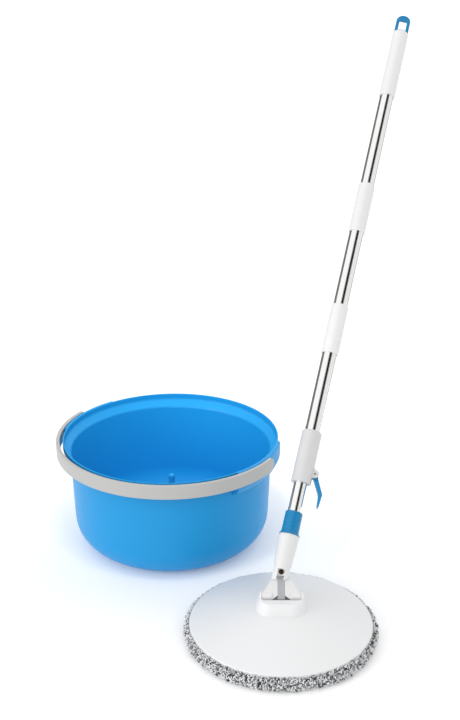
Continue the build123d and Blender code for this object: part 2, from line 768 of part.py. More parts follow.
with BuildPart() as rod_pin:
    with BuildSketch(pole_side) as rod_pin_view:
        with Locations((0, rod_pin_height)):
            Circle(rod_pin_radius)
    extrude(rod_pin_view.sketch, amount=plug_bore - 0.2, both=True)
finish(rod_pin.part, "rod_pin")


def sleeve(low, high):
    """A plastic sleeve pressed over the tube, its outer ends rounded."""
    outline = [
        (upper_tube_radius + press, low),
        (sleeve_radius - 0.6, low),
        (sleeve_radius, low + 1.2),
        (sleeve_radius, high - 1.2),
        (sleeve_radius - 0.6, high),
        (upper_tube_radius + press, high),
    ]
    turned(pole_side, pole_axis, outline)


with BuildPart() as joint_sleeve_1:
    sleeve(joint_1 - sleeve_1_length / 2, joint_1 + sleeve_1_length / 2)
finish(joint_sleeve_1.part, "joint_sleeve_1")

with BuildPart() as joint_sleeve_2:
    sleeve(joint_2 - sleeve_2_length / 2, joint_2 + sleeve_2_length / 2)
finish(joint_sleeve_2.part, "joint_sleeve_2")

with BuildPart() as top_grip:
    sleeve(grip_low, grip_top)
finish(top_grip.part, "top_grip")

cap_flange = 1.5
loop_low = grip_top + 2.0
loop_top = cap_top - 10.5
with BuildPart() as hanger_cap:
    with BuildSketch(pole_side) as arch_view:
        with Locations((0, (grip_top + cap_top - cap_radius) / 2)):
            Rectangle(2 * cap_radius, cap_top - cap_radius - grip_top)
        with Locations((0, cap_top - cap_radius)):
            Circle(cap_radius)
    extrude(arch_view.sketch, amount=cap_thick / 2, both=True)
    rims = hanger_cap.edges().filter_by(lambda e: abs(abs(front_reach(e)) - cap_thick / 2) < 0.1)
    fillet(rims.filter_by(lambda e: pole_height(e) > grip_top + 2), 1.2)
    ring(pole_plane, grip_top, grip_top + cap_flange, cap_radius)
    ring(pole_plane, grip_top - 25, grip_top, plug_bore)
    with BuildSketch(pole_side) as loop_view:
        with Locations((0, (loop_low + loop_top) / 2)):
            RectangleRounded(2 * loop_half_width, loop_top - loop_low, 1.5)
    extrude(loop_view.sketch, amount=2 * cap_radius, both=True, mode=Mode.SUBTRACT)
finish(hanger_cap.part, "hanger_cap")

# ================================================================ clamp lever
with BuildPart() as clamp_lever:
    with BuildSketch(pole_side) as lever_head_view:
        with Locations((lever_pin_out, lever_pin_height)):
            Circle(lever_head_radius)
        with BuildLine():
            Polyline(
                (lever_pin_out - 2, lever_pin_height - 4.5),
                (lever_pin_out + 5.2, lever_pin_height - 1),
                (lever_pin_out + 8, lever_pin_height - 10),
                (lever_pin_out + 1.5, lever_pin_height - 12),
                close=True,
            )
        make_face()
    extrude(lever_head_view.sketch, amount=lever_head_half, both=True)
    with BuildSketch(pole_side) as lever_arm_view:
        with BuildLine():
            Polyline(
                (lever_pin_out + 7.2, lever_pin_height - 8),
                (lever_pin_out + 18.0, lever_pin_height - 30),
                (lever_pin_out + 16.2, lever_pin_height - lever_reach),
                (lever_pin_out + 13.2, lever_pin_height - lever_reach),
                (lever_pin_out + 11.8, lever_pin_height - 31),
                (lever_pin_out + 1.5, lever_pin_height - 11),
                close=True,
            )
        make_face()
    extrude(lever_arm_view.sketch, amount=lever_arm_half, both=True)
    with BuildSketch(pole_side) as lever_bore:
        with Locations((lever_pin_out, lever_pin_height)):
            Circle(lever_pin_radius + running)
    extrude(lever_bore.sketch, amount=2 * lever_arm_half, both=True, mode=Mode.SUBTRACT)
finish(clamp_lever.part, "clamp_lever")
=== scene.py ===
"""Spin mop set: finishes, microfibre pad and studio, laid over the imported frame."""

import json
import math
import random

import bmesh
import bpy
from bpy.props import FloatProperty, FloatVectorProperty, IntProperty, PointerProperty
from mathutils import Matrix, Vector, noise


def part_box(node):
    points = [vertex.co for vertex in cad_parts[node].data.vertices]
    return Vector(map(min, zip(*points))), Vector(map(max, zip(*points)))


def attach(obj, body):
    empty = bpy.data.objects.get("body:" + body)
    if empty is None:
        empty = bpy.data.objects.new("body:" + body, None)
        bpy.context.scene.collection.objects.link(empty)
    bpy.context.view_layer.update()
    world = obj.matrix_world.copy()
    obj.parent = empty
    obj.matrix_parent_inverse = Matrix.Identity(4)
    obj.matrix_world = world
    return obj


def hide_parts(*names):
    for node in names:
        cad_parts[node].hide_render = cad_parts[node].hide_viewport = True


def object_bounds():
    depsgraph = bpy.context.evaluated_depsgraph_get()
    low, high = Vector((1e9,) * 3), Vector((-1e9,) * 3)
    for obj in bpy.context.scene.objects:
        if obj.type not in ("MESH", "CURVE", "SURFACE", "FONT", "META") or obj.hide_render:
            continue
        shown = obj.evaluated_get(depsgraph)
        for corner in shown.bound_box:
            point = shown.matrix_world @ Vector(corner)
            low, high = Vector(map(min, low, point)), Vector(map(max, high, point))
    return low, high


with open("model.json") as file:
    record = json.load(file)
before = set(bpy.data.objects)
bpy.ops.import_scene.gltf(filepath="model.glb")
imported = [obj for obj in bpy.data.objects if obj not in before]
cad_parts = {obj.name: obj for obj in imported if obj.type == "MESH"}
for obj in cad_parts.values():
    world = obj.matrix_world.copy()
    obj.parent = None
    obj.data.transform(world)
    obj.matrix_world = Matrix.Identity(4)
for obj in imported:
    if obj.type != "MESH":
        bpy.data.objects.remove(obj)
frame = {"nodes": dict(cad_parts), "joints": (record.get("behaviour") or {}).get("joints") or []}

bl_info = {
    "name": "Spin Mop Set",
    "version": (1, 0, 0),
    "blender": (4, 5, 0),
    "location": "3D View > Sidebar > Spin Mop",
    "description": "Finishes a spin mop set: moulded plastics, steel tubes, loop pile pad and studio",
    "category": "Object",
}

CAD_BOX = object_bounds()
MM = 0.001
JOINTS = {joint["name"]: joint for joint in frame["joints"]}

# Where things are, read from the frame
PAD_LOW, PAD_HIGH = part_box("pad_fibre")
BACKING_LOW, BACKING_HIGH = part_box("pad_backing")
PLATE_LOW, PLATE_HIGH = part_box("head_plate")
HEAD_X = (PAD_LOW.x + PAD_HIGH.x) / 2
HEAD_Y = (PAD_LOW.y + PAD_HIGH.y) / 2
PAD_RADIUS = (PAD_HIGH.x - PAD_LOW.x) / 2
PAD_TOP = PAD_HIGH.z
BACKING_RADIUS = (BACKING_HIGH.x - BACKING_LOW.x) / 2
PAD_HOLE = 30 * MM
PLATE_EDGE = (PLATE_HIGH.x - PLATE_LOW.x) / 2
POLE_FOOT = Vector(JOINTS["side_tilt"]["pos_m"])
POLE_UP = Vector(JOINTS["telescope"]["axis"]).normalized()

# The pad's form, in metres
PILE_REACH = 3.0 * MM  # how far the loops stand outside the cloth
ROLL_RISE = 3.5 * MM  # how far the pad's rolled edge stands over the plate's lower edge
ROLL_FLATTEN = 0.82  # width of the rolled edge against its height
ROLL_ARC = math.pi * 1.12  # how far round the rolled edge goes
ROLL_TURNS = 14
SEAM_RADII = (0.062, 0.100)  # the two sewn rings in the pad's face
SEAM_REACH = 4.0 * MM
PUFF_FRAMES = 16
PUFF_LIMIT = 2.2 * MM  # the most a point of the cloth may move
PILE_MARGIN = 0.8 * MM  # how far a loop may stand outside the pad
PLATE_MARGIN = 0.6 * MM  # how far loops stay from the plate's edge

# The studio
FLOOR_HALF = 30
FLOOR_LIFT = 0.11  # even glow of the lit floor, so that it stays white beside the bucket
CARD_LENGTH = 2.6
KEY_TOWARD = (-0.80, -0.46, 0.34)
KEY_SOFTNESS = 32  # degrees
FILL_PLACE = (0.0, -0.34, 1.0)
FILL_TARGET = (0.0, 0.13, 0.09)
FILL_SIZE = (0.22, 0.16)
FILL_SPREAD = 38  # degrees

# Cards round the pole, seen only in its gloss:
# direction round the pole and half-width in degrees, tone, distance
TUBE_CARDS = (
    ("dark_card", 19, 13, 0.015, 0.95),
    ("dark_edge_card", 20, 25, 0.34, 1.0),
    ("left_card", -112, 29, 0.17, 1.0),
    ("right_card", 76, 22, 0.68, 1.0),
    ("far_right_card", 124, 16, 0.42, 1.0),
)


# ---------------------------------------------------------------- settings
class SpinMopFinish(bpy.types.PropertyGroup):
    """Colours and gloss of the set's materials"""

    bucket_blue: FloatVectorProperty(
        name="Bucket blue", description="Colour of the bucket's moulded shell",
        subtype="COLOR", size=3, min=0, max=1, default=(0.012, 0.285, 0.630),
    )
    accent_blue: FloatVectorProperty(
        name="Accent blue", description="Colour of the collar, the lever and the hanging cap",
        subtype="COLOR", size=3, min=0, max=1, default=(0.003, 0.195, 0.42),
    )
    shell_white: FloatVectorProperty(
        name="Shell white", description="Colour of the mop's white mouldings",
        subtype="COLOR", size=3, min=0, max=1, default=(0.70, 0.70, 0.705),
    )
    bail_grey: FloatVectorProperty(
        name="Bail grey", description="Colour of the carrying strap",
        subtype="COLOR", size=3, min=0, max=1, default=(0.43, 0.43, 0.42),
    )
    plate_white: FloatVectorProperty(
        name="Plate white", description="Colour of the mop's round plate",
        subtype="COLOR", size=3, min=0, max=1, default=(0.765, 0.77, 0.775),
    )
    clamp_white: FloatVectorProperty(
        name="Clamp white", description="Colour of the clamp sleeve, a shade greyer than the rest",
        subtype="COLOR", size=3, min=0, max=1, default=(0.565, 0.565, 0.57),
    )
    rib_grey: FloatVectorProperty(
        name="Rib grey", description="Colour of the grey inner mouldings",
        subtype="COLOR", size=3, min=0, max=1, default=(0.36, 0.37, 0.39),
    )
    shell_gloss: FloatProperty(
        name="Shell roughness", description="Roughness of the glossy mouldings",
        subtype="FACTOR", min=0, max=1, default=0.32,
    )


class SpinMopPile(bpy.types.PropertyGroup):
    """Size and mix of the pad's loop pile"""

    pitch: FloatProperty(
        name="Loop pitch", description="Distance between neighbouring loops on the visible edge",
        unit="LENGTH", min=0.001, max=0.01, default=0.0034,
    )
    under_pitch: FloatProperty(
        name="Underside pitch", description="Distance between neighbouring loops on the mopping face",
        unit="LENGTH", min=0.001, max=0.01, default=0.0042,
    )
    height: FloatProperty(
        name="Loop height", description="How far a loop stands out of the cloth",
        unit="LENGTH", min=0.0005, max=0.01, default=0.0034,
    )
    yarn: FloatProperty(
        name="Yarn radius", description="Radius of the looped yarn",
        unit="LENGTH", min=0.0001, max=0.002, default=0.00074,
    )
    seed: IntProperty(
        name="Seed", description="Start of the loops' random lean and tone", min=0, default=7,
    )


class SpinMopStage(bpy.types.PropertyGroup):
    """Camera and light of the studio"""

    camera_side: FloatProperty(
        name="Camera side", description="How far the camera stands to the right of the bucket",
        unit="LENGTH", default=0.1026,
    )
    camera_back: FloatProperty(
        name="Camera distance", description="How far the camera stands in front of the bucket",
        unit="LENGTH", min=0.1, default=1.8322,
    )
    camera_height: FloatProperty(
        name="Camera height", description="Height of the camera over the floor",
        unit="LENGTH", min=0.0, default=1.03235,
    )
    camera_pitch: FloatProperty(
        name="Camera pitch", description="How far the camera looks down", subtype="ANGLE",
        default=math.radians(20.94),
    )
    lens: FloatProperty(
        name="Lens", description="Focal length on a 36 mm tall frame, in millimetres", min=1, default=58.03,
    )
    room: FloatProperty(
        name="Room light", description="Strength of the even white surround", min=0, default=1.02,
    )
    key: FloatProperty(
        name="Key light", description="Strength of the broad soft light from the left", min=0, default=0.85,
    )
    bucket_fill: FloatProperty(
        name="Bucket fill", description="Power of the light that opens up the bucket's inside",
        unit="POWER", min=0, default=0.30,
    )


# ---------------------------------------------------------------- shader node groups
def new_group(name, inputs, outputs):
    """An empty shader group with named value or colour sockets."""
    group = bpy.data.node_groups.new(name, "ShaderNodeTree")
    for label, kind, default in inputs:
        socket = group.interface.new_socket(label, in_out="INPUT", socket_type=kind)
        socket.default_value = default
    for label, kind in outputs:
        group.interface.new_socket(label, in_out="OUTPUT", socket_type=kind)
    entry = group.nodes.new("NodeGroupInput")
    leave = group.nodes.new("NodeGroupOutput")
    return group, entry, leave


def add_node(tree, kind, links=None, **settings):
    """A node with its settings, and its inputs linked from sockets or set to values."""
    node = tree.nodes.new(kind)
    for name, value in settings.items():
        setattr(node, name, value)
    for name, value in (links or {}).items():
        if isinstance(value, bpy.types.NodeSocket):
            tree.links.new(value, node.inputs[name])
        else:
            node.inputs[name].default_value = value
    return node


def noise_node(tree, vector, scale, detail=3.0, roughness=0.5):
    links = {"Scale": scale, "Detail": detail, "Roughness": roughness}
    if vector is not None:
        links["Vector"] = vector
    return add_node(tree, "ShaderNodeTexNoise", links)


def spread(tree, value, low, high):
    """A noise value stretched to run between two numbers."""
    node = add_node(tree, "ShaderNodeMapRange", {"Value": value, "From Min": 0.3, "From Max": 0.7})
    node.inputs["To Min"].default_value = low
    node.inputs["To Max"].default_value = high
    return node.outputs["Result"]


def moulded_skin_group():
    """Fine orange peel, slow tone drift and uneven gloss of an injection moulding."""
    group, entry, leave = new_group(
        "Moulded skin",
        [
            ("Colour", "NodeSocketColor", (0.5, 0.5, 0.5, 1)),
            ("Drift", "NodeSocketFloat", 0.04),
            ("Roughness", "NodeSocketFloat", 0.3),
            ("Grain scale", "NodeSocketFloat", 900.0),
        ],
        [("Colour", "NodeSocketColor"), ("Roughness", "NodeSocketFloat"), ("Height", "NodeSocketFloat")],
    )
    place = add_node(group, "ShaderNodeTexCoord").outputs["Object"]
    slow = noise_node(group, place, 7.0, 2.0)
    fine = noise_node(group, place, entry.outputs["Grain scale"], 2.0)
    peel = noise_node(group, place, 160.0, 3.0)
    centred = add_node(group, "ShaderNodeMath", {0: slow.outputs["Fac"], 1: 0.5}, operation="SUBTRACT")
    drift = add_node(
        group, "ShaderNodeMath", {0: centred.outputs[0], 1: entry.outputs["Drift"]}, operation="MULTIPLY"
    )
    value = add_node(group, "ShaderNodeMath", {0: drift.outputs[0], 1: 1.0}, operation="ADD")
    tone = add_node(
        group, "ShaderNodeHueSaturation", {"Color": entry.outputs["Colour"], "Value": value.outputs[0]}
    )
    rough_spread = add_node(
        group, "ShaderNodeMapRange", {"Value": peel.outputs["Fac"], "From Min": 0.3, "From Max": 0.7}
    )
    rough_spread.inputs["To Min"].default_value = -0.05
    rough_spread.inputs["To Max"].default_value = 0.07
    rough = add_node(
        group, "ShaderNodeMath", {0: entry.outputs["Roughness"], 1: rough_spread.outputs["Result"]},
        operation="ADD", use_clamp=True,
    )
    height = add_node(
        group, "ShaderNodeMath", {0: peel.outputs["Fac"], 1: fine.outputs["Fac"]}, operation="ADD"
    )
    group.links.new(tone.outputs["Color"], leave.inputs["Colour"])
    group.links.new(rough.outputs[0], leave.inputs["Roughness"])
    group.links.new(height.outputs[0], leave.inputs["Height"])
    return group


def edge_lightening_group():
    """A mask of the convex edges, broken up by noise, where the surface is lightened."""
    group, entry, leave = new_group(
        "Edge lightening",
        [("Amount", "NodeSocketFloat", 0.5), ("Breakup", "NodeSocketFloat", 60.0)],
        [("Mask", "NodeSocketFloat")],
    )
    geometry = add_node(group, "ShaderNodeNewGeometry")
    place = add_node(group, "ShaderNodeTexCoord").outputs["Object"]
    broken = noise_node(group, place, entry.outputs["Breakup"], 4.0, 0.6)
    edge_range = {"Value": geometry.outputs["Pointiness"], "From Min": 0.52, "From Max": 0.60}
    edge = add_node(group, "ShaderNodeMapRange", edge_range)
    patchy_edge = add_node(
        group, "ShaderNodeMath", {0: edge.outputs["Result"], 1: broken.outputs["Fac"]}, operation="MULTIPLY"
    )
    mask = add_node(
        group, "ShaderNodeMath", {0: patchy_edge.outputs[0], 1: entry.outputs["Amount"]},
        operation="MULTIPLY", use_clamp=True,
    )
    group.links.new(mask.outputs[0], leave.inputs["Mask"])
    return group


def drawn_metal_group():
    """Lengthways drawing lines and faint smears on metal, run along one direction."""
    group, entry, leave = new_group(
        "Drawn metal",
        [("Along", "NodeSocketVector", (0, 0, 1)), ("Roughness", "NodeSocketFloat", 0.1)],
        [("Roughness", "NodeSocketFloat"), ("Height", "NodeSocketFloat"), ("Tone", "NodeSocketFloat")],
    )
    place = add_node(group, "ShaderNodeTexCoord").outputs["Object"]
    along = add_node(
        group, "ShaderNodeVectorMath", {0: place, 1: entry.outputs["Along"]}, operation="DOT_PRODUCT"
    )
    shift = add_node(
        group, "ShaderNodeVectorMath", {0: entry.outputs["Along"], "Scale": along.outputs["Value"]},
        operation="SCALE",
    )
    across = add_node(group, "ShaderNodeVectorMath", {0: place, 1: shift.outputs[0]}, operation="SUBTRACT")
    faint = add_node(group, "ShaderNodeVectorMath", {0: shift.outputs[0], "Scale": 0.02}, operation="SCALE")
    stretched = add_node(
        group, "ShaderNodeVectorMath", {0: across.outputs[0], 1: faint.outputs[0]}, operation="ADD"
    )
    lines = noise_node(group, stretched.outputs[0], 1800.0, 2.0)
    smear = noise_node(group, place, 30.0, 3.0)
    rough_spread = add_node(
        group, "ShaderNodeMapRange", {"Value": smear.outputs["Fac"], "From Min": 0.35, "From Max": 0.7}
    )
    rough_spread.inputs["To Min"].default_value = -0.03
    rough_spread.inputs["To Max"].default_value = 0.05
    rough = add_node(
        group, "ShaderNodeMath", {0: entry.outputs["Roughness"], 1: rough_spread.outputs["Result"]},
        operation="ADD", use_clamp=True,
    )
    tone = add_node(
        group, "ShaderNodeMapRange", {"Value": lines.outputs["Fac"], "From Min": 0.3, "From Max": 0.7}
    )
    tone.inputs["To Min"].default_value = 0.96
    tone.inputs["To Max"].default_value = 1.0
    group.links.new(rough.outputs[0], leave.inputs["Roughness"])
    group.links.new(lines.outputs["Fac"], leave.inputs["Height"])
    group.links.new(tone.outputs["Result"], leave.inputs["Tone"])
    return group


GROUP_MAKERS = {
    "Moulded skin": moulded_skin_group,
    "Edge lightening": edge_lightening_group,
    "Drawn metal": drawn_metal_group,
}


def placed_group(tree, name, links=None):
    """A shader group, built on first use, placed in a material with its own values."""
    group = bpy.data.node_groups.get(name) or GROUP_MAKERS[name]()
    node = add_node(tree, "ShaderNodeGroup", node_tree=group)
    for label, value in (links or {}).items():
        if isinstance(value, bpy.types.NodeSocket):
            tree.links.new(value, node.inputs[label])
        else:
            node.inputs[label].default_value = value
    return node


def new_material(name):
    """A material with only its Principled shader, ready for links."""
    material = bpy.data.materials.new(name)
    material.use_nodes = True
    return material, material.node_tree, material.node_tree.nodes["Principled BSDF"]


def bumped(tree, shader, height, distance, strength=1.0):
    """Feeds a height into the shader's normal."""
    bump = add_node(tree, "ShaderNodeBump", {"Height": height, "Distance": distance, "Strength": strength})
    tree.links.new(bump.outputs["Normal"], shader.inputs["Normal"])


# ---------------------------------------------------------------- materials
def moulded_plastic(name, colour, roughness, drift=0.05, edge_lift=0.25, peel=0.00004, coat=0.0, shine=0.5):
    """An injection moulding: tone drift, orange peel and lightened convex edges."""
    known = bpy.data.materials.get(name)
    if known:
        return known
    material, tree, shader = new_material(name)
    skin = placed_group(
        tree, "Moulded skin", {"Colour": (*colour, 1), "Drift": drift, "Roughness": roughness}
    )
    edges = placed_group(tree, "Edge lightening", {"Amount": edge_lift})
    # Convex edges get a lighter copy of the colour, through the edge mask.
    lighter = [min(1.0, c * 1.25 + 0.06) for c in colour]
    edge_lightened = add_node(tree, "ShaderNodeMix", data_type="RGBA")
    tree.links.new(edges.outputs["Mask"], edge_lightened.inputs[0])
    tree.links.new(skin.outputs["Colour"], edge_lightened.inputs[6])
    edge_lightened.inputs[7].default_value = (*lighter, 1)
    tree.links.new(edge_lightened.outputs[2], shader.inputs["Base Color"])
    tree.links.new(skin.outputs["Roughness"], shader.inputs["Roughness"])
    bumped(tree, shader, skin.outputs["Height"], peel)
    shader.inputs["IOR"].default_value = 1.49
    shader.inputs["Specular IOR Level"].default_value = shine
    shader.inputs["Coat Weight"].default_value = coat
    shader.inputs["Coat Roughness"].default_value = 0.12
    return material


def metal(name, colour, roughness, along, lines=0.000008):
    """A drawn or polished metal with lines along one direction."""
    known = bpy.data.materials.get(name)
    if known:
        return known
    material, tree, shader = new_material(name)
    drawn = placed_group(tree, "Drawn metal", {"Along": tuple(along), "Roughness": roughness})
    tone = add_node(tree, "ShaderNodeMix", data_type="RGBA", blend_type="MULTIPLY")
    tone.inputs[0].default_value = 1.0
    tone.inputs[6].default_value = (*colour, 1)
    grey = add_node(tree, "ShaderNodeCombineColor")
    for channel in ("Red", "Green", "Blue"):
        tree.links.new(drawn.outputs["Tone"], grey.inputs[channel])
    tree.links.new(grey.outputs[0], tone.inputs[7])
    tree.links.new(tone.outputs[2], shader.inputs["Base Color"])
    tree.links.new(drawn.outputs["Roughness"], shader.inputs["Roughness"])
    shader.inputs["Metallic"].default_value = 1.0
    bumped(tree, shader, drawn.outputs["Height"], lines)
    return material


def finish_settings():
    return bpy.context.scene.spin_mop_finish


def bucket_plastic():
    finish = finish_settings()
    return moulded_plastic(
        "Bucket moulding", finish.bucket_blue, finish.shell_gloss + 0.06, 0.06, 0.5, shine=0.22
    )


def accent_plastic():
    finish = finish_settings()
    return moulded_plastic(
        "Blue fitting", finish.accent_blue, finish.shell_gloss - 0.06, 0.05, 0.5, coat=0.15, shine=0.3
    )


def white_plastic():
    finish = finish_settings()
    return moulded_plastic("White moulding", finish.shell_white, finish.shell_gloss, 0.03, 0.3)


def plate_plastic():
    finish = finish_settings()
    return moulded_plastic("Plate moulding", finish.plate_white, finish.shell_gloss + 0.04, 0.03, 0.3)


def clamp_plastic():
    finish = finish_settings()
    return moulded_plastic("Clamp moulding", finish.clamp_white, finish.shell_gloss, 0.04, 0.3)


def bail_plastic():
    finish = finish_settings()
    return moulded_plastic("Bail moulding", finish.bail_grey, 0.42, 0.05, 0.4, peel=0.00006)


def rib_plastic():
    finish = finish_settings()
    return moulded_plastic("Grey moulding", finish.rib_grey, 0.46, 0.06, 0.4, peel=0.00006)


def natural_nylon():
    return moulded_plastic("Natural nylon", (0.62, 0.60, 0.54), 0.5, 0.08, 0.2, peel=0.00005)


def tube_chrome():
    return metal("Tube chrome", (0.95, 0.945, 0.935), 0.06, POLE_UP, 0.000002)


def bright_steel():
    return metal("Bright steel", (0.56, 0.55, 0.54), 0.25, (0, 0, 1), 0.00002)


def rivet_painted_shade():
    # The knuckle pin is steel; its near-black brown is painted shade from its recess with a painted warm
    # reflection.
    return metal("Rivet with painted shade", (0.07, 0.045, 0.03), 0.38, (0, 1, 0), 0.00003)


def hook_tape():
    """Black hook tape: rows of tiny plastic hooks, as a fine cell pattern."""
    known = bpy.data.materials.get("Hook tape")
    if known:
        return known
    material, tree, shader = new_material("Hook tape")
    place = add_node(tree, "ShaderNodeTexCoord").outputs["Object"]
    cells = add_node(tree, "ShaderNodeTexVoronoi", {"Vector": place, "Scale": 700.0})
    ramp = add_node(tree, "ShaderNodeValToRGB", {"Fac": cells.outputs["Distance"]})
    ramp.color_ramp.elements[0].color = (0.09, 0.09, 0.09, 1)
    ramp.color_ramp.elements[1].color = (0.01, 0.01, 0.01, 1)
    tree.links.new(ramp.outputs["Color"], shader.inputs["Base Color"])
    shader.inputs["Roughness"].default_value = 0.7
    bumped(tree, shader, cells.outputs["Distance"], 0.0006)
    return material


def pile_yarn():
    """Microfibre yarn: each loop has its own tone, with fine fibres along it."""
    known = bpy.data.materials.get("Pile yarn")
    if known:
        return known
    material, tree, shader = new_material("Pile yarn")
    tone = add_node(tree, "ShaderNodeAttribute", attribute_name="yarn_tone")
    place = add_node(tree, "ShaderNodeTexCoord").outputs["Object"]
    fibres = noise_node(tree, place, 2600.0, 2.0, 0.7)
    shade = spread(tree, fibres.outputs["Fac"], 0.72, 1.12)
    mix = add_node(tree, "ShaderNodeHueSaturation", {"Color": tone.outputs["Color"], "Value": shade})
    tree.links.new(mix.outputs["Color"], shader.inputs["Base Color"])
    shader.inputs["Roughness"].default_value = 0.85
    shader.inputs["Sheen Weight"].default_value = 0.35
    shader.inputs["Sheen Roughness"].default_value = 0.4
    bumped(tree, shader, fibres.outputs["Fac"], 0.0003)
    return material


def pile_ground():
    """The knitted ground that the loops stand in, with a fine rib: near-black patches of painted shade for
    the gaps between the loops, speckled with the cloth's pale grey.
    """
    known = bpy.data.materials.get("Pile ground")
    if known:
        return known
    material, tree, shader = new_material("Pile ground")
    place = add_node(tree, "ShaderNodeTexCoord").outputs["Object"]
    cells = add_node(tree, "ShaderNodeTexVoronoi", {"Vector": place, "Scale": 420.0})
    shade_speckle = noise_node(tree, place, 500.0, 3.0, 0.7)
    # Near-black: painted shade in the gaps between the loops; pale grey: the cloth's own tone.
    ramp = add_node(tree, "ShaderNodeValToRGB", {"Fac": shade_speckle.outputs["Fac"]})
    ramp.color_ramp.elements[0].position = 0.44
    ramp.color_ramp.elements[0].color = (0.01, 0.0105, 0.011, 1)
    ramp.color_ramp.elements[1].position = 0.60
    ramp.color_ramp.elements[1].color = (0.62, 0.63, 0.65, 1)
    tree.links.new(ramp.outputs["Color"], shader.inputs["Base Color"])
    shader.inputs["Roughness"].default_value = 0.95
    bumped(tree, shader, cells.outputs["Distance"], 0.0012)
    return material


def dress(material, *nodes):
    """Gives CAD nodes their material, in every slot."""
    for name in nodes:
        mesh = frame["nodes"][name].data
        if not mesh.materials:
            mesh.materials.append(material)
        for index in range(len(mesh.materials)):
            mesh.materials[index] = material


# ---------------------------------------------------------------- pad
def pad_profile(steps):
    """The pad's section as radius and height pairs, once round: flat under the plate, a roll outside it."""
    low = PILE_REACH
    outer = PAD_RADIUS - PILE_REACH
    top = PAD_TOP - 0.0004
    roll_top = PLATE_LOW.z + ROLL_RISE
    roll = (roll_top - low) / 2
    centre = outer - roll * ROLL_FLATTEN
    span = centre - PAD_HOLE
    points = [(PAD_HOLE + span * i / steps, low) for i in range(steps)]
    for i in range(ROLL_TURNS + 1):
        angle = -math.pi / 2 + ROLL_ARC * i / ROLL_TURNS
        across = centre + ROLL_FLATTEN * roll * math.cos(angle)
        points.append((across, low + roll * (1 + math.sin(angle))))
    inner = min(points[-1][0], PLATE_EDGE + 0.0008)
    for i in range(1, steps + 1):
        points.append((PAD_HOLE + (inner - PAD_HOLE) * (1 - i / steps), top))
    points.append((PAD_HOLE, (low + top) / 2))
    return points


def pad_form(around=168, steps=18):
    """A closed ring of the pad's section, ready to be puffed."""
    section = pad_profile(steps)
    form = bmesh.new()
    rings = []
    for k in range(around):
        angle = 2 * math.pi * k / around
        ahead, aside = math.cos(angle), math.sin(angle)
        rings.append([form.verts.new((HEAD_X + r * ahead, HEAD_Y + r * aside, z)) for r, z in section])
    count = len(section)
    for k in range(around):
        here, following = rings[k], rings[(k + 1) % around]
        for i in range(count):
            j = (i + 1) % count
            form.faces.new((here[i], following[i], following[j], here[j]))
    bmesh.ops.recalc_face_normals(form, faces=form.faces)
    mesh = bpy.data.meshes.new("pad_body")
    form.to_mesh(mesh)
    form.free()
    return bpy.data.objects.new("pad_body", mesh)


def distance_from_axis(point):
    return math.hypot(point.x - HEAD_X, point.y - HEAD_Y)


def sewn_weight(point):
    """1 where the cloth is sewn or glued down, 0 where it is free to puff."""
    radius = distance_from_axis(point)
    if point.z > PAD_TOP - 0.002 and radius < BACKING_RADIUS - 0.004:
        return 1.0
    if radius < PAD_HOLE + 0.004:
        return 1.0
    for seam in SEAM_RADII:
        if abs(radius - seam) < SEAM_REACH and point.z < PAD_TOP / 2:
            return 1.0
    return 0.0


def puff(body):
    """Blows the free cloth up a little by cloth pressure, then applies the result."""
    start = [vertex.co.copy() for vertex in body.data.vertices]
    group = body.vertex_groups.new(name="sewn")
    for index, point in enumerate(start):
        group.add([index], sewn_weight(point), "REPLACE")
    cloth = body.modifiers.new("Cloth", "CLOTH")
    cloth.settings.quality = 6
    cloth.settings.mass = 0.3
    cloth.settings.use_pressure = True
    cloth.settings.uniform_pressure_force = 3.0
    cloth.settings.tension_stiffness = 18
    cloth.settings.compression_stiffness = 18
    cloth.settings.bending_stiffness = 1.5
    cloth.settings.vertex_group_mass = "sewn"
    cloth.settings.effector_weights.gravity = 0
    cloth.point_cache.frame_start = 1
    cloth.point_cache.frame_end = PUFF_FRAMES
    scene = bpy.context.scene
    for number in range(1, PUFF_FRAMES + 1):
        scene.frame_set(number)
    puffed = body.evaluated_get(bpy.context.evaluated_depsgraph_get())
    moved = [vertex.co.copy() for vertex in puffed.data.vertices]
    body.modifiers.clear()
    scene.frame_set(1)
    for vertex, before, after in zip(body.data.vertices, start, moved):
        step = after - before
        if step.length > PUFF_LIMIT:
            step *= PUFF_LIMIT / step.length
        vertex.co = before + step


def crumple(body):
    """Small uneven waves in the rolled edge, and a flat underside that stays off the floor."""
    for vertex in body.data.vertices:
        radius = distance_from_axis(vertex.co)
        share = max(0.0, min(1.0, (radius - 0.118) / 0.02))
        wave = noise.noise(vertex.co * 38) * 0.0013 + noise.noise(vertex.co * 95) * 0.0006
        out = Vector(((vertex.co.x - HEAD_X) / radius, (vertex.co.y - HEAD_Y) / radius, 0.35))
        vertex.co += out * wave * share
        vertex.co.z = max(vertex.co.z, 0.0018)


def loop_points(lean, width, height, count):
    """An arch of yarn in its own frame: out of the cloth, over, and back in."""
    for i in range(count):
        share = i / (count - 1)
        angle = math.pi * share
        yield Vector((
            -math.cos(angle) * width / 2 + lean * math.sin(angle),
            0.25 * lean * math.sin(2 * angle),
            height * math.sin(angle) - 0.0004,
        ))


